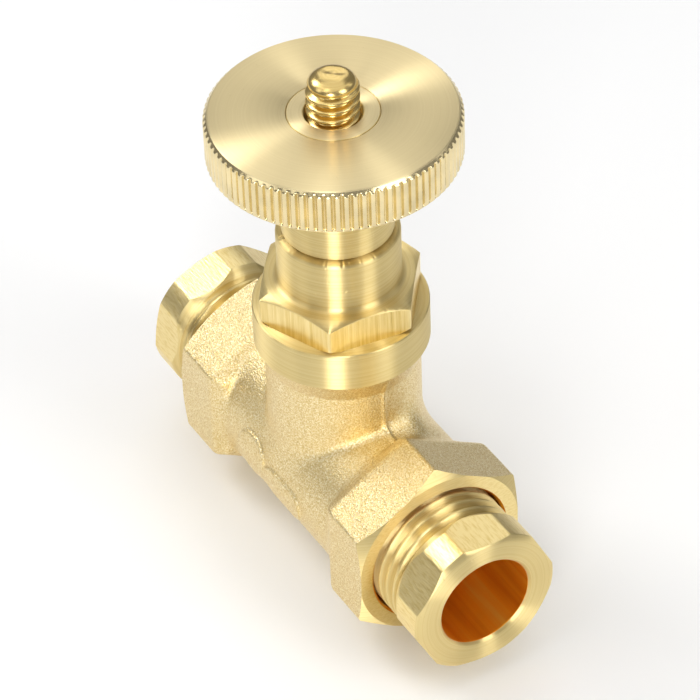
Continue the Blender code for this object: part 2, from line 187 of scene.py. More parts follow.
class Finish:
    """A material's node tree around one Principled shader."""

    def __init__(self, name, **sockets):
        self.material = bpy.data.materials.new(name)
        self.material.use_nodes = True
        self.tree = self.material.node_tree
        self.shader = self.tree.nodes["Principled BSDF"]
        for socket, value in sockets.items():
            self.shader.inputs[socket.replace("_", " ")].default_value = value
        self.point = self.node("ShaderNodeTexCoord").outputs["Object"]

    def node(self, kind, *links, **settings):
        made = self.tree.nodes.new(kind)
        for key, value in settings.items():
            if hasattr(made, key):
                setattr(made, key, value)
            else:
                made.inputs[key.replace("_", " ")].default_value = value
        for socket, source in links:
            self.tree.links.new(source, made.inputs[socket])
        return made

    def link(self, source, socket):
        self.tree.links.new(source, self.shader.inputs[socket])

    def noise(self, point, scale, detail=2.0, roughness=0.5):
        return self.node("ShaderNodeTexNoise", ("Vector", point), Scale=scale,
                         Detail=detail, Roughness=roughness).outputs["Fac"]

    def ramp(self, value, stops):
        """Maps a value to colours or greys given as (position, colour) stops."""
        made = self.node("ShaderNodeValToRGB", ("Fac", value))
        ramp = made.color_ramp
        while len(ramp.elements) < len(stops):
            ramp.elements.new(0.5)
        for element, (position, colour) in zip(ramp.elements, stops):
            element.position = position
            element.color = colour if len(colour) == 4 else (*colour, 1.0)
        return made.outputs["Color"]

    def bump(self, height, distance, strength=1.0, under=None):
        links = [("Height", height)] + ([("Normal", under)] if under else [])
        return self.node("ShaderNodeBump", *links, Distance=distance,
                         Strength=strength).outputs["Normal"]

    def math(self, operation, first, second=None):
        made = self.node("ShaderNodeMath", (0, first), operation=operation)
        if isinstance(second, float):
            made.inputs[1].default_value = second
        elif second is not None:
            self.tree.links.new(second, made.inputs[1])
        return made.outputs[0]

    def round_axis(self, axis):
        """Distance from the axis and height along it, as a vector for turning marks."""
        across = (1, 1, 0) if axis == "Z" else (0, 1, 1)
        flat = self.node("ShaderNodeVectorMath", (0, self.point), operation="MULTIPLY")
        flat.inputs[1].default_value = across
        radius = self.node("ShaderNodeVectorMath", (0, flat.outputs["Vector"]),
                           operation="LENGTH").outputs["Value"]
        parts = self.node("ShaderNodeSeparateXYZ", ("Vector", self.point))
        wander = self.math("MULTIPLY", self.noise(self.point, 160.0, 1.0), 0.0001)
        radius = self.math("ADD", radius, wander)
        return self.node("ShaderNodeCombineXYZ", ("X", radius),
                         ("Y", parts.outputs[axis])).outputs["Vector"]

    def brushed(self, axis, amount=0.6):
        """Stretches reflections across the turning marks."""
        self.shader.inputs["Anisotropic"].default_value = amount
        self.shader.inputs["Anisotropic Rotation"].default_value = 0.25
        tangent = self.node("ShaderNodeTangent", direction_type="RADIAL", axis=axis)
        self.link(tangent.outputs["Tangent"], "Tangent")


BRASS_PALE = (0.90, 0.73, 0.35)
BRASS_DEEP = (0.74, 0.55, 0.19)
BRASS_DARK_LINE = (0.42, 0.29, 0.09)
# painted light: the wheel's colours are the same brass made paler, standing in for its brightly
# lit faces washing out towards white
WHEEL_PALE_PAINTED_LIGHT = (0.88, 0.735, 0.42)
WHEEL_DEEP_PAINTED_LIGHT = (0.80, 0.65, 0.34)
# painted shade: the thread's colours are the spindle's brass made darker, standing in for the
# shade and bounced light between the crests
THREAD_PALE_PAINTED_SHADE = (0.80, 0.60, 0.24)
THREAD_DEEP_PAINTED_SHADE = (0.60, 0.40, 0.11)


def turned_brass(name, axis, roughness=0.4, marks=1.0, anisotropic=1.0,
                 shades=(BRASS_PALE, BRASS_DEEP)):
    """Bright brass with fine turning marks round the axis and a scatter of tiny nicks."""
    finish = Finish(name, Metallic=1.0, Roughness=roughness)
    rings = finish.round_axis(axis)
    turned = finish.noise(rings, 4200.0, 3.0, 0.7)
    finish.link(finish.ramp(turned, [(0.1, shades[1]), (0.6, shades[0])]), "Base Color")
    coarse = finish.bump(turned, 0.000010 * marks)
    fine = finish.bump(finish.noise(rings, 9000.0, 1.0), 0.000003 * marks, under=coarse)
    nicks = finish.ramp(finish.noise(finish.point, 1500.0, 1.0),
                        [(0.22, (0, 0, 0)), (0.27, (1, 1, 1))])
    worn = finish.bump(nicks, 0.00002, 0.7, under=fine)
    finish.link(worn, "Normal")
    finish.brushed(axis, anisotropic)
    return finish.material


def blasted_brass(name):
    """The forging's skin: an evenly pitted grain whose tone varies at random, its palest
    near-white grains painted glints for the sparkle.
    """
    finish = Finish(name, Metallic=1.0, Roughness=0.34)
    grain = finish.noise(finish.point, 5200.0, 3.0, 0.7)
    # grain tone varies at random; the near-white top stop is painted glints standing in for
    # sparkle
    finish.link(finish.ramp(grain, [(0.36, (0.66, 0.48, 0.19)), (0.5, (0.82, 0.64, 0.30)),
                                    (0.64, (1.0, 0.90, 0.64))]), "Base Color")
    swell = finish.bump(finish.noise(finish.point, 700.0, 3.0), 0.000015)
    pits = finish.node("ShaderNodeTexVoronoi", ("Vector", finish.point),
                       Scale=4600.0).outputs["Distance"]
    pitted = finish.bump(pits, 0.00005, under=swell)
    finish.link(finish.bump(grain, 0.00006, under=pitted), "Normal")
    return finish.material


def bore_painted_shade_brass(name):
    """A drilled and reamed bore, painted with the shade and bounced light inside it: darker,
    oranger brass than the rest, with faint streaks along X whose pale stops are painted
    reflections.
    """
    finish = Finish(name, Metallic=0.8, Roughness=0.4)
    stretch = finish.node("ShaderNodeVectorMath", (0, finish.point), operation="MULTIPLY")
    stretch.inputs[1].default_value = (0.04, 1.0, 1.0)
    along = stretch.outputs["Vector"]
    streaks = finish.noise(along, 420.0, 3.0, 0.6)
    # painted shade and bounced light: the bore's deep orange, and paler streaks along X as
    # painted reflections
    finish.link(finish.ramp(streaks, [(0.3, (0.80, 0.26, 0.008)), (0.5, (1.0, 0.42, 0.02)),
                                      (0.7, (1.0, 0.62, 0.08))]), "Base Color")
    finish.link(finish.bump(finish.noise(along, 2200.0, 2.0), 0.00001), "Normal")
    return finish.material


def drawn_brass(name):
    """Bar stock: faint lines along Z on its flats, darker in colour where they are deep."""
    finish = Finish(name, Metallic=1.0, Roughness=0.3)
    lines = finish.node("ShaderNodeVectorMath", (0, finish.point), operation="MULTIPLY")
    lines.inputs[1].default_value = (1.0, 1.0, 0.03)
    streaks = finish.noise(lines.outputs["Vector"], 3000.0, 4.0, 0.75)
    finish.link(finish.ramp(streaks, [(0.22, BRASS_DARK_LINE), (0.36, BRASS_DEEP),
                                      (0.62, BRASS_PALE)]), "Base Color")
    drawn = finish.bump(streaks, 0.00005)
    marks = finish.bump(finish.noise(finish.point, 1900.0, 2.0), 0.000008, under=drawn)
    finish.link(marks, "Normal")
    return finish.material


def milled_brass(name):
    """Flats cut with a side mill: two sets of crossing tool marks."""
    finish = Finish(name, Metallic=1.0, Roughness=0.36)
    normal = None
    for tilt in (35.0, -50.0):
        turn = finish.node("ShaderNodeMapping", ("Vector", finish.point))
        turn.inputs["Rotation"].default_value = (math.radians(tilt), math.radians(tilt), 0)
        turn.inputs["Scale"].default_value = (0.2, 1.0, 1.0)
        marks = finish.noise(turn.outputs["Vector"], 3600.0, 2.0, 0.6)
        normal = finish.bump(marks, 0.000022, under=normal)
    finish.link(finish.ramp(marks, [(0.2, BRASS_DEEP), (0.55, BRASS_PALE)]), "Base Color")
    finish.link(normal, "Normal")
    return finish.material


def steel(name, colour, roughness, grain=3000.0):
    finish = Finish(name, Metallic=1.0, Roughness=roughness)
    drift = finish.noise(finish.point, grain / 8, 3.0)
    finish.link(finish.ramp(drift, [(0.3, tuple(0.8 * c for c in colour)), (0.7, colour)]),
                "Base Color")
    finish.link(finish.bump(finish.noise(finish.point, grain, 2.0), 0.000006), "Normal")
    return finish.material


def rubber(name):
    finish = Finish(name, Roughness=0.55)
    drift = finish.noise(finish.point, 900.0, 3.0)
    finish.link(finish.ramp(drift, [(0.3, (0.012, 0.012, 0.013)), (0.7, (0.03, 0.03, 0.032))]),
                "Base Color")
    finish.link(finish.bump(finish.noise(finish.point, 4000.0, 2.0), 0.00001), "Normal")
    return finish.material


# ---- shapes -----------------------------------------------------------------------------


def around(steps=ROUND, start=0.0):
    return math.radians(start) + np.arange(steps) * math.tau / steps


def ring(theta, radius, height):
    """Points round Z; radius and height are numbers or one value for each angle."""
    radius = np.broadcast_to(radius, theta.shape)
    height = np.broadcast_to(height, theta.shape)
    return np.stack((radius * np.cos(theta), radius * np.sin(theta), height), axis=1)


def lathe(profile, theta=None):
    theta = around() if theta is None else theta
    return [ring(theta, radius, height) for radius, height in profile]


def towards(start, end, width):
    step = end - start
    length = np.linalg.norm(step, axis=1, keepdims=True)
    return start + step * np.minimum(width / np.maximum(length, 1e-9), 0.4)


def eased(rings, width, loop):
    """Breaks every sharp rim: each ring becomes two, `width` away on either side of it."""
    count = len(rings)
    made = []
    for k, here in enumerate(rings):
        if not loop and k in (0, count - 1):
            made.append(here)
            continue
        made.append(towards(here, rings[k - 1], width))
        made.append(towards(here, rings[(k + 1) % count], width))
    return made


def band_after(corner):
    """Number, in an eased closed outline, of the band between a corner and the next one."""
    return 2 * corner + 1


def skin(rings, loop=False, faces_material=None):
    """Closed mesh through rings of equal length, closed on itself or capped at both ends."""
    bm = bmesh.new()
    rows = [[bm.verts.new(point) for point in points] for points in rings]
    pairs = list(zip(rows, rows[1:]))
    if loop:
        pairs.append((rows[-1], rows[0]))
    for index, (low, high) in enumerate(pairs):
        slot = faces_material(index, len(pairs)) if faces_material else 0
        count = len(low)
        for k in range(count):
            after = (k + 1) % count
            bm.faces.new((low[k], low[after], high[after], high[k])).material_index = slot
    if not loop:
        bm.faces.new(rows[0][::-1])
        bm.faces.new(rows[-1])
    bmesh.ops.recalc_face_normals(bm, faces=bm.faces)
    return bm


def front_end(bm):
    """Lays a shape made up Z along +X."""
    bm.transform(Matrix.Rotation(math.radians(90), 4, "Y"))
    return bm


def rear_end(bm):
    bm.transform(Matrix.Diagonal((-1, -1, 1, 1)) @ Matrix.Rotation(math.radians(90), 4, "Y"))
    return bm


ENDS = {"front": front_end, "rear": rear_end}


def solid(name, bm, materials, weighted=True):
    """Makes an object of a shape in millimetres."""
    bm.transform(Matrix.Scale(MM, 4))
    mesh = bpy.data.meshes.new(name)
    bm.to_mesh(mesh)
    bm.free()
    for material in materials:
        mesh.materials.append(material)
    mesh.shade_smooth()
    made = bpy.data.objects.new(name, mesh)
    bpy.context.scene.collection.objects.link(made)
    if weighted:
        modifier = made.modifiers.new("weighted_normals", "WEIGHTED_NORMAL")
        modifier.weight = 80
        settle(made)
    return made


def settle(made):
    """Applies the object's modifiers."""
    bpy.context.view_layer.update()
    evaluated = made.evaluated_get(bpy.context.evaluated_depsgraph_get())
    mesh = bpy.data.meshes.new_from_object(evaluated)
    made.modifiers.clear()
    made.data = mesh


def carve(target, operation, bm, material):
    """Joins, cuts or keeps a shape; the new faces take the material."""
    cutter = solid("cutter", bm, [material], weighted=False)
    modifier = target.modifiers.new("carve", "BOOLEAN")
    modifier.operation = operation
    modifier.solver = "EXACT"
    modifier.material_mode = "TRANSFER"
    modifier.object = cutter
    settle(target)
    bpy.data.objects.remove(cutter)


def place(made, body, slot, *nodes):
    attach(made, body)
    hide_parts(*nodes)
    return made


def hexagon_radius(theta, across_flats, corner_turn, corner_round=0.15):
    """Distance from the axis to a hexagon's side, its corners rounded."""
    apothem = across_flats / 2
    sector = math.radians(60)
    to_corner = np.abs((theta - math.radians(corner_turn) + sector / 2) % sector - sector / 2)
    side = apothem / np.cos(sector / 2 - to_corner)
    centre = (apothem - corner_round) / math.cos(sector / 2)
    arc = (centre * np.cos(to_corner)
           + np.sqrt(np.maximum(corner_round**2 - (centre * np.sin(to_corner))**2, 0)))
    limit = math.atan2(corner_round * 0.5, centre + corner_round * math.cos(sector / 2))
    return np.where(to_corner < limit, arc, side)


def thread_radius(phase, crest_r, depth):
    """Radius of a 60 degree thread with rounded crest and root; phase 0 is the crest."""
    place_in_pitch = np.abs((phase + 0.5) % 1.0 - 0.5) * 2
    flank = np.clip((place_in_pitch - 0.17) / 0.62, 0, 1)
    return crest_r - depth * (flank * flank * (3 - 2 * flank) * 0.45 + flank * 0.55)


def threaded(theta, low, high, pitch, crest_r, depth, rows_per_pitch, ease):
    """Rings of a right-hand thread, faded out over `ease` at both ends."""
    rows = max(2, round((high - low) / pitch * rows_per_pitch))
    made = []
    for height in np.linspace(low, high, rows + 1):
        phase = height / pitch - theta / math.tau
        radius = thread_radius(phase, crest_r, depth)
        end = min(height - low, high - height)
        limit = crest_r - depth * (1 - min(1.0, max(0.0, end / ease)))
        made.append(ring(theta, np.minimum(radius, limit), height))
    return made


# ---- forged body ------------------------------------------------------------------------


def smooth_min(first, second, width):
    share = np.clip(0.5 + 0.5 * (second - first) / width, 0, 1)
    return second + (first - second) * share - width * share * (1 - share)


def smooth_max(first, second, width):
    return -smooth_min(-first, -second, width)


def fade(distance, width):
    """Falls smoothly from 1 to 0 where the distance passes 0."""
    return 1 / (1 + np.exp(np.clip(distance / width, -40, 40)))


def stadium(x, z, x_low, x_high, z_low, z_high):
    """Signed distance, in the side view, to a bar with round ends."""
    half = (z_high - z_low) / 2
    reach = np.clip(x, x_low + half, x_high - half)
    return np.hypot(x - reach, z - (z_low + z_high) / 2) - half


def end_hexagons(x, y, z):
    """Signed distance to the two hexagons, with the drafted sides that face the boss."""
    out = np.abs(x)
    slope_y, slope_z = 0.5 * y, math.sin(math.radians(60)) * z
    tilted = smooth_max(np.abs(slope_y + slope_z), np.abs(slope_y - slope_z), 0.3)
    flats = smooth_max(np.abs(y), tilted, 0.3) - END_HEX_AF / 2
    run = END_HEX_INNER_X - END_HEX_FOOT_X
    slant = math.hypot(run, END_HEX_FOOT_DROP)
    draft = (run * flats - END_HEX_FOOT_DROP * (out - END_HEX_INNER_X)) / slant
    hexagons = smooth_max(smooth_max(flats, draft, 0.35), END_HEX_FOOT_X - out, 0.5)
    return np.maximum(hexagons, out - END_X - STOCK)


def barrel_with_pad(x, y, z):
    """Signed distance to the barrel, which carries the marking pad on its -Y side."""
    pad = np.minimum(stadium(x, z, *PAD_BAR), stadium(x, z, *PAD_DISC))
    raised = PAD_HEIGHT * fade(np.where(y < 0, pad, BARREL_R), 0.05)
    return np.maximum(np.hypot(y, z) - BARREL_R - raised, np.abs(x) - END_X + 3)


def boss(x, y, z):
    """Signed distance to the boss, which swells out to the ring."""
    swell = np.maximum(z - RING_CONE_Z, 0) - np.maximum(z - RING_BOTTOM_Z - 0.6, 0)
    swell = swell * (RING_R - BOSS_R) / (RING_BOTTOM_Z - RING_CONE_Z)
    side = (np.hypot(x, y) - BOSS_R - swell) * 0.93     # 0.93 evens out the swell's slope
    return np.maximum(np.maximum(side, z - RING_TOP_Z - STOCK), -z)


def flash_ridge(x, y, z):
    """Height of the parting line, which runs up the boss and on to the hexagons."""
    height, width = FLASH_RIDGE
    middle_z, reach_z = FLASH_RIDGE_Z
    low_x, high_x = FLASH_RIDGE_X
    out = np.abs(x)
    window = fade(np.abs(z - middle_z) - reach_z, 1 / 4) * fade(out - high_x, 1 / 6)
    return height * np.exp(-(y / width)**2) * window * (out > low_x)


def forging(x, y, z):
    """Signed distance to the whole forging."""
    centre_y, width = WEB_SWELL_Y
    web = WEB_R + WEB_SWELL_R * np.exp(-((y - centre_y) / width)**2)
    ends = smooth_min(barrel_with_pad(x, y, z), end_hexagons(x, y, z), 0.9)
    return smooth_min(ends, boss(x, y, z), web) - flash_ridge(x, y, z)


CORNERS = [(i, j, k) for i in (0, 1) for j in (0, 1) for k in (0, 1)]
CELL_EDGES = [(a, b) for a in range(8) for b in range(a + 1, 8)
              if sum(p != q for p, q in zip(CORNERS[a], CORNERS[b])) == 1]


def cell_corner(field, corner):
    i, j, k = corner
    nx, ny, nz = field.shape
    return field[i:nx - 1 + i, j:ny - 1 + j, k:nz - 1 + k]


def surface_nets(distance, low, high, step):
    """Quads through the cells that a signed distance changes sign in, drawn on to its zero
    level with a few Newton steps."""
    axes = [np.arange(a, b + step, step) for a, b in zip(low, high)]
    grid = np.meshgrid(*axes, indexing="ij")
    field = distance(*grid)
    inside = field < 0
    corners = [cell_corner(field, corner) for corner in CORNERS]
    count_in = sum(cell_corner(inside, corner).astype(np.int8) for corner in CORNERS)
    crossed = (count_in > 0) & (count_in < 8)
    cells = np.argwhere(crossed)
    values = np.stack([corner[crossed] for corner in corners], axis=1)
    total = np.zeros((len(cells), 3))
    number = np.zeros(len(cells))
    for a, b in CELL_EDGES:
        va, vb = values[:, a], values[:, b]
        use = (va < 0) != (vb < 0)
        share = np.where(use, va / np.where(use, va - vb, 1), 0)
        pa = np.array(CORNERS[a], float)
        pb = np.array(CORNERS[b], float)
        total += np.where(use[:, None], pa + share[:, None] * (pb - pa), 0)
        number += use
    points = np.array(low) + step * (cells + total / number[:, None])
    for _ in range(4):
        points = points - newton_step(distance, points)
    index = np.full(crossed.shape, -1)
    index[crossed] = np.arange(len(cells))
    quads = []
    for axis in range(3):
        first, second = [a for a in range(3) if a != axis]
        ahead = np.take(inside, range(1, inside.shape[axis]), axis)
        behind = np.take(inside, range(inside.shape[axis] - 1), axis)
        at = np.argwhere(ahead != behind)
        leaving = behind[tuple(at.T)]
        around_edge = []
        for back_first, back_second in ((0, 0), (1, 0), (1, 1), (0, 1)):
            cell = at.copy()
            cell[:, first] -= back_first
            cell[:, second] -= back_second
            around_edge.append(index[tuple(cell.T)])
        quad = np.stack(around_edge, axis=1)
        flip = leaving if axis == 1 else ~leaving
        quad[flip] = quad[flip][:, ::-1]
        quads.append(quad)
    return points, np.concatenate(quads)


def newton_step(distance, points, reach=0.02):
    here = distance(*points.T)
    slope = np.stack([(distance(*(points + reach * unit).T)
                       - distance(*(points - reach * unit).T)) / (2 * reach)
                      for unit in np.eye(3)], axis=1)
    return here[:, None] * slope / np.maximum((slope**2).sum(1, keepdims=True), 1e-6)


def forged_mesh():
    reach_x = END_X + 1.6 * STOCK
    reach_y = END_HEX_AF / 2 + 0.9
    corner_z = END_HEX_AF / 2 * 1.17 + 0.7     # just past the hexagons' corners
    low = (-reach_x, -reach_y, -corner_z)
    points, quads = surface_nets(forging, low, (reach_x, reach_y, RING_TOP_Z + 1.8),
                                 FORGING_STEP)
    mesh = bpy.data.meshes.new("forging")
    mesh.from_pydata(points.tolist(), [], quads.tolist())
    bm = bmesh.new()
    bm.from_mesh(mesh)
    bpy.data.meshes.remove(mesh)
    bmesh.ops.recalc_face_normals(bm, faces=bm.faces)
    return bm


def both_ends(rings, loop=False):
    pair = front_end(skin(rings, loop))
    other = bpy.data.meshes.new("other_end")
    mirrored = rear_end(skin(rings, loop))
    mirrored.to_mesh(other)
    mirrored.free()
    pair.from_mesh(other)
    bpy.data.meshes.remove(other)
    return pair


TINY_R = 0.01                          # stands for a point on the axis in a turned tool


def machine_body(body, machined, bore_shade_finish):
    """Turns, faces and drills the forging."""
    wide_r = 30.0
    drop = (wide_r - END_FACE_R) * SLOPE_30
    ends = [(TINY_R, -END_X), (END_FACE_R, -END_X), (wide_r, drop - END_X),
            (wide_r, END_X - drop), (END_FACE_R, END_X), (TINY_R, END_X)]
    carve(body, "INTERSECT", front_end(skin(lathe(ends))), machined)
    top = RING_TOP_Z
    edge = 0.12
    clear_r, clear_z = RING_R + 3.4, top + 3
    ring_outside = [(TINY_R, top), (RING_R - edge, top), (RING_R, top - edge),
                    (RING_R, RING_BOTTOM_Z), (clear_r, RING_BOTTOM_Z), (clear_r, clear_z),
                    (TINY_R, clear_z)]
    carve(body, "DIFFERENCE", skin(lathe(ring_outside)), machined)
    cone_r = TUBE_SOCKET_R + OLIVE_SEAT_FLARE
    port = [(TINY_R, TUBE_STOP_X), (TUBE_SOCKET_R, TUBE_STOP_X),
            (TUBE_SOCKET_R, OLIVE_SEAT_X), (cone_r, PORT_THREAD_X),
            (PORT_MOUTH_R, PORT_THREAD_X + 0.4), (PORT_MOUTH_R, END_X - 0.25),
            (PORT_MOUTH_R + PORT_LEAD_IN, END_X - 0.25 + PORT_LEAD_IN),
            (PORT_MOUTH_R + PORT_LEAD_IN, END_X + STOCK), (TINY_R, END_X + STOCK)]
    carve(body, "DIFFERENCE", both_ends(lathe(port)), bore_shade_finish)
    shaft = [(TINY_R, SEAT_Z), (CHAMBER_R, SEAT_Z), (CHAMBER_R, BONNET_BORE_Z),
             (BONNET_BORE_R, BONNET_BORE_Z), (BONNET_BORE_R, top + STOCK), (TINY_R, top + STOCK)]
    carve(body, "DIFFERENCE", skin(lathe(shaft, around(180, 0.7))), bore_shade_finish)
    wide = ORIFICE_R + SEAT_Z - SEAT_EDGE_Z
    orifice = [(TINY_R, INLET_Z), (ORIFICE_R, INLET_Z), (ORIFICE_R, SEAT_EDGE_Z),
               (wide + 0.5, SEAT_Z + 0.5), (TINY_R, SEAT_Z + 0.5)]
    carve(body, "DIFFERENCE", skin(lathe(orifice, around(64, 1.3))), bore_shade_finish)
    for end, height, tip in (("front", INLET_Z, -ORIFICE_R), ("rear", OUTLET_Z, 0.0)):
        drill = [(TINY_R, tip - PASSAGE_R * SLOPE_30), (PASSAGE_R, tip),
                 (PASSAGE_R, TUBE_STOP_X + 1), (TINY_R, TUBE_STOP_X + 1)]
        way = ENDS[end](skin(lathe(drill, around(64, 0.9))))
        way.transform(Matrix.Translation((0, 0, height)))
        carve(body, "DIFFERENCE", way, bore_shade_finish)


def mark_machined_rims(mesh, limit=math.radians(18)):
    """Keeps the rims that cutting leaves crisp; the forging itself stays smooth."""
    bm = bmesh.new()
    bm.from_mesh(mesh)
    for edge in bm.edges:
        cut = any(face.material_index > 0 for face in edge.link_faces)
        edge.smooth = not (cut and edge.calc_face_angle(0.0) > limit)
    bm.to_mesh(mesh)
    bm.free()


def make_body(blasted, machined, bore_shade_finish):
    body = solid("body_forging", forged_mesh(), [blasted], weighted=False)
    machine_body(body, machined, bore_shade_finish)
    mark_machined_rims(body.data)
    return place(body, "body", "forged_brass", "body")


# ---- bonnet -----------------------------------------------------------------------------


def nicked(theta, seed, depth, share=0.25):
    """Small dents at random places round a rim."""
    random = np.random.default_rng(seed)
    marks = random.random(len(theta))
    return depth * np.where(marks < share, random.random(len(theta)), 0.0)


def make_bonnet(turned_finish, drawn):
    theta = around(ROUND, BONNET_HEX_TURN)
    hexagon = hexagon_radius(theta, BONNET_HEX_AF, BONNET_HEX_TURN, 0.2)
    low_z, high_z = BONNET_HEX_Z
    chamfer_z = high_z - np.maximum(hexagon - BONNET_HEX_FACE_R, 0) * SLOPE_30
    chamfer_z = chamfer_z - nicked(theta, 3, 0.07, 0.2)
    under_z = low_z + np.maximum(hexagon - BONNET_HEX_SEAT_R, 0) * BONNET_HEX_UNDER_SLOPE
    rim_z = NECK_TOP_Z - nicked(theta, 5, 0.035, 0.3)
    shank = [(SPINDLE_BORE_R, BONNET_BOTTOM_Z),
             (BONNET_SHANK_R - BONNET_SHANK_CHAMFER, BONNET_BOTTOM_Z),
             (BONNET_SHANK_R, BONNET_BOTTOM_Z + BONNET_SHANK_CHAMFER),
             (BONNET_SHANK_R, low_z)]
    nut = [(np.minimum(hexagon, BONNET_HEX_SEAT_R), low_z), (hexagon, under_z),
           (hexagon, chamfer_z), (np.minimum(hexagon, BONNET_HEX_FACE_R), high_z)]
    neck = [(NECK_R + NECK_FILLET, high_z), (NECK_R + 0.2, high_z + 0.15),
            (NECK_R, high_z + NECK_FILLET), (NECK_R, NECK_TOP_Z - 0.5),
            (NECK_R - 0.15, rim_z - 0.14), (NECK_R - 0.5, rim_z)]
    bore = [(TAPPED_R + 0.75, NECK_TOP_Z), (TAPPED_R, NECK_TOP_Z - 0.7),
            (TAPPED_R, SPINDLE_BORE_ROOF_Z + 0.8), (SPINDLE_BORE_R, SPINDLE_BORE_ROOF_Z)]
    outline = shank + nut + neck + bore
    rings = eased(lathe(outline, theta), 0.06, loop=True)
    side = band_after(len(shank) + 1)  # between the nut's two rings at full size

    def material(index, count):
        return 1 if index == side else 0

    bonnet = solid("bonnet_screwed", skin(rings, True, material), [turned_finish, drawn])
    return place(bonnet, "body", "turned_brass", "bonnet")


# ---- spindle, hub and wheel -------------------------------------------------------------


def groove(centre_z):
    half = GROOVE_HEIGHT / 2
    return [(LAND_R, centre_z - half), (GROOVE_R, centre_z - half),
            (GROOVE_R, centre_z + half), (LAND_R, centre_z + half)]


def domed_top(theta, base_z, base_r, top_z, steps=12):
    """The spindle's rounded end, with two shallow punch marks."""
    made = []
    for k in range(1, steps + 1):
        angle = math.pi / 2 * k / steps
        radius = base_r * math.cos(angle) ** 0.75 if k < steps else 0.05
        height = base_z + (top_z - base_z) * math.sin(angle)
        points = ring(theta, radius, height)
        for mark_x, mark_y in PUNCH_MARKS:
            away = (points[:, 0] - mark_x)**2 + (points[:, 1] - mark_y)**2
            points[:, 2] -= PUNCH_DEPTH * np.exp(-away / 0.5)
        made.append(points)
    return made


def make_spindle(finish):
    """Land with two grooves and the needle's socket, then the screw and its domed end."""
    theta = around(128)
    low_z, high_z = LAND_Z
    clip_low_z, clip_high_z = CLIP_GROOVE_Z
    clip_r = NEEDLE_SOCKET_R + 0.6
    socket = [(0.05, NEEDLE_SOCKET_ROOF_Z), (NEEDLE_SOCKET_R, NEEDLE_SOCKET_ROOF_Z),
              (NEEDLE_SOCKET_R, clip_high_z), (clip_r, clip_high_z), (clip_r, clip_low_z),
              (NEEDLE_SOCKET_R, clip_low_z), (NEEDLE_SOCKET_R, low_z)]
    grooves = [point for centre_z in O_RING_Z.values() for point in groove(centre_z)]
    land = [(LAND_R - LAND_CHAMFER, low_z), (LAND_R, low_z + LAND_CHAMFER), *grooves,
            (LAND_R, high_z - LAND_CHAMFER), (LAND_R - LAND_CHAMFER, high_z),
            (SPINDLE_R - 0.75, high_z)]
    rings = eased(lathe(socket + land, theta), 0.05, loop=False)
    dome_z = SPINDLE_TOP_Z - SPINDLE_DOME
    rows_per_pitch = 16
    screw = threaded(theta, SPINDLE_THREAD_Z, dome_z, SPINDLE_PITCH, SPINDLE_R,
                     SPINDLE_THREAD_DEPTH, rows_per_pitch, 0.5)
    rings += screw[:-rows_per_pitch // 2]
    rings += domed_top(theta, dome_z - 0.3, SPINDLE_R - 0.25, SPINDLE_TOP_Z)
    spindle = solid("spindle_screw", skin(rings), [finish])
    return place(spindle, "spindle", "turned_brass", "spindle")


def hub_screw_place():
    return (Matrix.Translation((0, 0, HUB_SCREW_Z))
            @ Matrix.Rotation(math.radians(HUB_SCREW_TURN), 4, "Z")
            @ Matrix.Rotation(math.radians(90), 4, "Y"))


def make_hub(finish, face_finish):
    """Collar under the wheel, with a spigot that ends flush with the wheel's top."""
    spigot_r = WHEEL_HOLE_R - 0.07
    shoulder_z = WHEEL_Z[0] - 0.02
    step, step_z = HUB_STEP
    collar = [(TAPPED_R, HUB_BOTTOM_Z), (HUB_R - HUB_EDGE, HUB_BOTTOM_Z),
              (HUB_R, HUB_BOTTOM_Z + HUB_EDGE), (HUB_R, shoulder_z - step_z - 0.15),
              (HUB_R - step, shoulder_z - step_z), (HUB_R - step, shoulder_z)]
    spigot = [(spigot_r, shoulder_z), (spigot_r, WHEEL_Z[1] - 0.05),
              (spigot_r - 0.05, WHEEL_Z[1]), (TAPPED_R + 0.12, WHEEL_Z[1]),
              (TAPPED_R, WHEEL_Z[1] - 0.12)]
    rings = eased(lathe(collar + spigot, around(256)), 0.04, loop=True)
    top_band = band_after(len(collar) + 2)

    def material(index, count):
        return 1 if index == top_band else 0

    hub = solid("handwheel_hub", skin(rings, True, material), [finish, face_finish],
                weighted=False)
    hole = skin(lathe([(HUB_SCREW_R + 0.1, SPINDLE_R - 1), (HUB_SCREW_R + 0.1, HUB_R + 1)],
                      around(64)))
    hole.transform(hub_screw_place())
    carve(hub, "DIFFERENCE", hole, finish)
    hub.data.set_sharp_from_angle(angle=math.radians(35))
    return place(hub, "spindle", "turned_brass", "hub")


def make_hub_screw(finish):
    theta = around(96)
    top = HUB_R - 0.4
    key = hexagon_radius(theta, HUB_SCREW_KEY_AF, 0.0, 0.05)
    outline = [(TINY_R, SPINDLE_R + 0.3), (HUB_SCREW_R - 0.3, SPINDLE_R + 0.3),
               (HUB_SCREW_R, SPINDLE_R + 0.6), (HUB_SCREW_R, top - 0.25),
               (HUB_SCREW_R - 0.25, top), (key + 0.12, top), (key, top - 0.15),
               (key, top - 1.4), (TINY_R, top - 1.7)]
    bm = skin(eased(lathe(outline, theta), 0.03, loop=False))
    bm.transform(hub_screw_place())
    screw = solid("hub_grub_screw", bm, [finish])
    return place(screw, "spindle", "black_steel", "hub_screw")


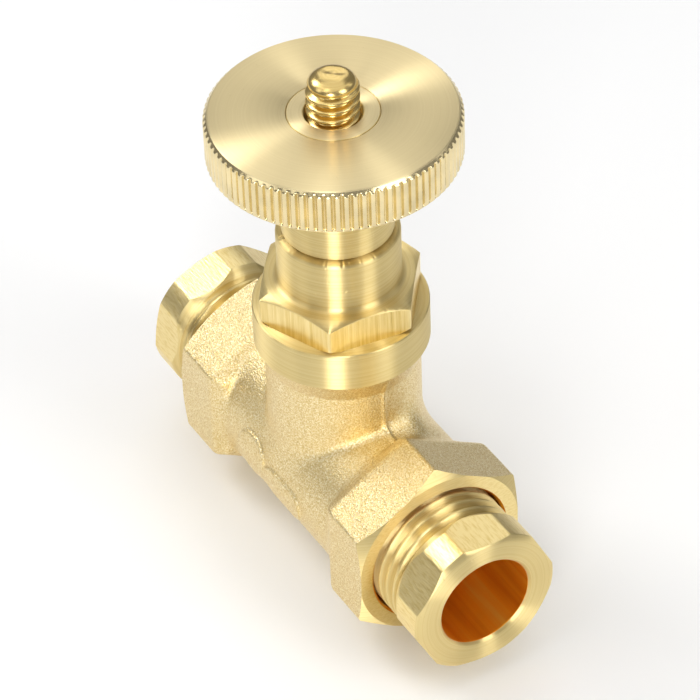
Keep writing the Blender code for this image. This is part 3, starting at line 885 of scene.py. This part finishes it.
def make_handwheel(finish, rim_finish):
    """A disc whose rim is pressed into teeth, which fade into a chamfer at both faces."""
    theta = around(KNURL_TEETH * 16)
    across = np.abs(2 * (theta * KNURL_TEETH / math.tau % 1.0) - 1)
    valley = np.clip((across - KNURL_LAND) / (1 - KNURL_LAND), 0, 1)
    cut = KNURL_CROWN * across**2 + KNURL_DEPTH * (0.5 - 0.5 * np.cos(math.pi * valley))
    bottom, top = WHEEL_Z
    face_r = WHEEL_R - WHEEL_CHAMFER
    # share of the tooth's cut and distance inside the rim, along the chamfer
    faded = [(0.0, 0.42), (0.45, 0.21), (1.0, 0.0)]
    low_rings = [(WHEEL_R - np.maximum(share * cut, inside), bottom + WHEEL_CHAMFER - inside)
                 for share, inside in faded]
    high_rings = [(radius, bottom + top - height) for radius, height in low_rings[::-1]]
    inner = [(WHEEL_HOLE_R, bottom), (face_r, bottom)]
    outline = inner + low_rings + high_rings + [(face_r, top), (WHEEL_HOLE_R, top)]
    rings = eased(lathe(outline, theta), 0.05, loop=True)
    first_rim_band = band_after(len(inner) + 1)
    last_rim_band = band_after(len(inner) + len(low_rings) + 1) + 1

    def material(index, count):
        return 1 if first_rim_band <= index <= last_rim_band else 0

    wheel = solid("handwheel_knurled", skin(rings, True, material), [finish, rim_finish])
    return place(wheel, "spindle", "wheel_brass", "handwheel")


# ---- compression nuts and olives --------------------------------------------------------


def make_nut(side, turned_finish, flats, bore_shade_finish):
    corner = NUT_TURN[side]
    theta = around(ROUND, corner)
    hexagon = np.minimum(hexagon_radius(theta, NUT_HEX_AF, corner, 0.1), NUT_CORNER_R)
    edge_x = NUT_FACE_X - np.maximum(hexagon - NUT_FACE_R, 0) * SLOPE_30
    neck_x = NUT_HEAD_X + 0.2
    under_x = neck_x + (hexagon - NUT_FACE_R) / SLOPE_30
    cone_end_x = NUT_END_X + (NUT_CONE_R - TUBE_R) / SLOPE_30
    head = [(NUT_FACE_R, neck_x), (hexagon, under_x), (hexagon, edge_x),
            (np.minimum(hexagon, NUT_FACE_R), NUT_FACE_X)]
    bore = [(TUBE_R + NUT_BORE_CHAMFER, NUT_FACE_X), (TUBE_R, NUT_FACE_X - NUT_BORE_CHAMFER),
            (TUBE_R, cone_end_x), (NUT_CONE_R, NUT_END_X)]
    shank = threaded(theta, NUT_END_X, NUT_HEAD_X, NUT_PITCH, NUT_THREAD_R,
                     NUT_THREAD_DEPTH, 20, 0.45)
    shank[-1] = ring(theta, NUT_THREAD_R - NUT_THREAD_DEPTH, NUT_HEAD_X)
    rings = shank + eased([shank[-1], *lathe(head + bore, theta)], 0.05, loop=False)[1:]
    # after the thread, corner k of head + bore gives the rings 2k and 2k + 1
    first = len(shank)
    flat_band = first + 3
    bore_band = first + 2 * (len(head) + 1)

    def material(index, count):
        if index == flat_band:
            return 1
        return 2 if index >= bore_band else 0

    nut = solid(f"{side}_nut_threaded", ENDS[side](skin(rings, True, material)),
                [turned_finish, flats, bore_shade_finish])
    return place(nut, f"{side}_nut", "turned_brass", f"{side}_nut")


def make_olive(side, finish):
    """Barrel-shaped ring that the nut squeezes on to the tube."""
    inner_x = lowest("front_olive")[0]
    outer_x = highest("front_olive")[0]
    shoulder_r = OLIVE_CROWN_R - 0.25
    outline = [(OLIVE_BORE_R, inner_x), (OLIVE_BORE_R + 0.35, inner_x),
               (shoulder_r, inner_x + 0.7), (OLIVE_CROWN_R, inner_x + 1.6),
               (OLIVE_CROWN_R, outer_x - 2.0), (shoulder_r, outer_x - 1.0),
               (OLIVE_BORE_R + 0.3, outer_x), (OLIVE_BORE_R, outer_x)]
    bm = ENDS[side](skin(eased(lathe(outline, around(180)), 0.06, True), True))
    olive = solid(f"{side}_olive_turned", bm, [finish])
    return place(olive, f"{side}_olive", "turned_brass", f"{side}_olive")


# ---- small inner pieces -----------------------------------------------------------------


def make_o_ring(node, finish):
    centre_z = O_RING_Z[node]
    centre_r = (GROOVE_R + SPINDLE_BORE_R) / 2
    section = [(centre_r + O_RING_R * math.cos(a), centre_z + O_RING_R * math.sin(a))
               for a in around(20)]
    made = solid(f"{node}_moulded", skin(lathe(section, around(120)), True), [finish])
    return place(made, "spindle", "nitrile", node)


def make_washer(finish):
    low_z, high_z = lowest("bonnet_washer")[2], highest("bonnet_washer")[2]
    outer_r = highest("bonnet_washer")[0]
    inner_r = CHAMBER_R + 0.3
    outline = [(inner_r, low_z), (outer_r, low_z), (outer_r, high_z), (inner_r, high_z)]
    rings = eased(lathe(outline, around(180)), 0.12, loop=True)
    made = solid("bonnet_washer_soft", skin(rings, True), [finish])
    return place(made, "body", "copper_washer", "bonnet_washer")


def make_needle(finish):
    """Cone, body and shank, with the groove that the clip holds it by."""
    slope = math.tan(math.radians(NEEDLE_TAPER))
    seat_r = ORIFICE_R - 0.3
    tip_r = seat_r - (SEAT_EDGE_Z - NEEDLE_TIP_Z) * slope
    cone_top_z = SEAT_EDGE_Z + (NEEDLE_BODY_R - seat_r) / slope
    shoulder_z = LAND_Z[0] - 0.6
    groove_low_z, groove_high_z = CLIP_GROOVE_Z
    top_z = highest("needle")[2]
    nose = [(tip_r * math.sin(a), NEEDLE_TIP_Z - tip_r * 0.5 * math.cos(a))
            for a in np.linspace(0.03, math.pi / 2, 8)]
    outline = [(NEEDLE_BODY_R, cone_top_z), (NEEDLE_BODY_R, shoulder_z),
               (NEEDLE_SHANK_R, shoulder_z), (NEEDLE_SHANK_R, groove_low_z),
               (NEEDLE_GROOVE_R, groove_low_z), (NEEDLE_GROOVE_R, groove_high_z),
               (NEEDLE_SHANK_R, groove_high_z), (NEEDLE_SHANK_R, top_z - 0.4),
               (NEEDLE_SHANK_R * 0.6, top_z), (TINY_R, top_z)]
    rings = lathe(nose, around(96)) + eased(lathe(outline, around(96)), 0.04, loop=False)
    made = solid("needle_ground", skin(rings), [finish])
    return place(made, "needle", "needle_steel", "needle")


def make_clip(finish):
    """A split ring of flattened wire, half in the needle's groove and half in the
    spindle's."""
    centre_z = (lowest("needle_clip")[2] + highest("needle_clip")[2]) / 2
    sections = []
    for turn in np.linspace(0, math.radians(CLIP_TURN), 90):
        circle = around(16)
        radius = CLIP_R + 0.4 * np.cos(circle)
        sections.append(np.stack((radius * math.cos(turn), radius * math.sin(turn),
                                  centre_z + 0.19 * np.sin(circle)), axis=1))
    made = solid("needle_clip_wire", skin(sections), [finish])
    return place(made, "spindle", "spring_steel", "needle_clip")


# ---- floor, light and camera ------------------------------------------------------------


FLOOR_SIZE = 1500.0


def make_floor():
    bm = bmesh.new()
    bmesh.ops.create_grid(bm, x_segments=2, y_segments=2, size=FLOOR_SIZE)
    bm.transform(Matrix.Translation((0, 0, lowest("body")[2] - 0.02)))
    finish = Finish("floor_white", Roughness=0.9)
    drift = finish.noise(finish.point, 6.0)
    finish.link(finish.ramp(drift, [(0.0, (0.94, 0.94, 0.94)), (1.0, (0.97, 0.97, 0.97))]),
                "Base Color")
    floor = solid("floor", bm, [finish.material], weighted=False)


TARGET = Vector((1.73, 0.0, 17.43)) * MM
CAMERA_AZIMUTH = 60.29                 # degrees from -Y towards +X
CAMERA_ELEVATION = 41.5
CAMERA_ROLL = -2.23
CAMERA_DISTANCE = 0.50171
CAMERA_LENS = 216.0

# name: azimuth from +X towards +Y, elevation, distance m, width m, height m, watts
SOFTBOXES = {
    "key": (208, 43, 0.6, 0.21, 0.21, 0.98),
    "key_spill": (228, 54, 0.62, 0.40, 0.30, 0.16),
    "left": (260, 38, 0.6, 0.20, 0.30, 0.22),
    "front_left_high": (288, 60, 0.6, 0.16, 0.30, 0.20),
    "front_strip": (322, 14, 0.6, 0.19, 0.42, 1.90),
    "front_right": (22, 34, 0.6, 0.22, 0.36, 1.00),
    "back_right": (150, 40, 0.65, 0.36, 0.34, 0.42),
    "right": (75, 40, 0.6, 0.14, 0.30, 0.12),
    "overhead": (0, 89, 0.6, 0.75, 0.75, 1.30),
}
WORLD_STRENGTH = 0.24


def make_lights():
    for name, (azimuth, elevation, distance, width, height, watts) in SOFTBOXES.items():
        data = bpy.data.lights.new(name, "AREA")
        data.shape = "RECTANGLE"
        data.size, data.size_y = width, height
        data.energy = watts
        lamp = bpy.data.objects.new(name, data)
        a, e = math.radians(azimuth), math.radians(elevation)
        out = Vector((math.cos(a) * math.cos(e), math.sin(a) * math.cos(e), math.sin(e)))
        lamp.location = TARGET + out * distance
        lamp.rotation_euler = out.to_track_quat("Z", "Y").to_euler()
        bpy.context.scene.collection.objects.link(lamp)
    world = bpy.data.worlds.new("studio")
    world.use_nodes = True
    background = world.node_tree.nodes["Background"]
    background.inputs["Color"].default_value = (1.0, 1.0, 1.0, 1.0)
    background.inputs["Strength"].default_value = WORLD_STRENGTH
    bpy.context.scene.world = world
    bpy.context.scene.view_settings.view_transform = "Standard"


def make_camera():
    azimuth, elevation, roll = (math.radians(angle) for angle in
                                (CAMERA_AZIMUTH, CAMERA_ELEVATION, CAMERA_ROLL))
    back = Vector((math.sin(azimuth) * math.cos(elevation),
                   -math.cos(azimuth) * math.cos(elevation), math.sin(elevation)))
    right = (-back).cross(Vector((0, 0, 1))).normalized()
    up = right.cross(-back)
    tilted_right = math.cos(roll) * right + math.sin(roll) * up
    tilted_up = -math.sin(roll) * right + math.cos(roll) * up
    data = bpy.data.cameras.new("camera")
    data.lens = CAMERA_LENS
    data.sensor_width = 36.0
    data.clip_start = 0.01
    camera = bpy.data.objects.new("camera", data)
    turn = Matrix((tilted_right, tilted_up, back)).transposed()
    camera.matrix_world = Matrix.Translation(TARGET + back * CAMERA_DISTANCE) @ turn.to_4x4()
    bpy.context.scene.collection.objects.link(camera)
    bpy.context.scene.camera = camera


def build():
    make_camera()
    make_lights()
    make_floor()
    turned_z = turned_brass("brass_turned_z", "Z")
    turned_x = turned_brass("brass_turned_x", "X", 0.38, 1.6)
    # wheel faces, hub top and knurled rim get the paler brass, which is painted light
    wheel_top_painted_light = turned_brass("brass_faced_wheel_painted_light", "Z", 0.42, 1.0, 0.95,
                             (WHEEL_PALE_PAINTED_LIGHT, WHEEL_DEEP_PAINTED_LIGHT))
    rim = steel("brass_knurled_rim_painted_light", WHEEL_PALE_PAINTED_LIGHT, 0.2)
    drawn = drawn_brass("brass_drawn_flats")
    milled = milled_brass("brass_milled_flats")
    # the bore's colour is painted shade and bounced light, with painted reflection streaks
    bore_shade_finish = bore_painted_shade_brass("brass_bore_painted_shade")
    make_body(blasted_brass("brass_blasted"), turned_z, bore_shade_finish)
    make_bonnet(turned_z, drawn)
    # the thread's darker brass is painted shade
    make_spindle(turned_brass("brass_rolled_thread_painted_shade", "Z", 0.24, 0.5, 0.1,
                              (THREAD_PALE_PAINTED_SHADE, THREAD_DEEP_PAINTED_SHADE)))
    make_hub(turned_z, wheel_top_painted_light)
    make_hub_screw(steel("steel_black_oxide", (0.07, 0.07, 0.075), 0.4))
    make_handwheel(wheel_top_painted_light, rim)
    for side in ("front", "rear"):
        make_nut(side, turned_x, milled, bore_shade_finish)
        make_olive(side, turned_x)
    nitrile = rubber("nitrile_rubber")
    for node in O_RING_Z:
        make_o_ring(node, nitrile)
    make_washer(steel("copper_soft", (0.86, 0.45, 0.30), 0.38))
    make_needle(steel("steel_ground", (0.70, 0.69, 0.66), 0.22))
    make_clip(steel("steel_spring", (0.62, 0.62, 0.64), 0.3))


build()
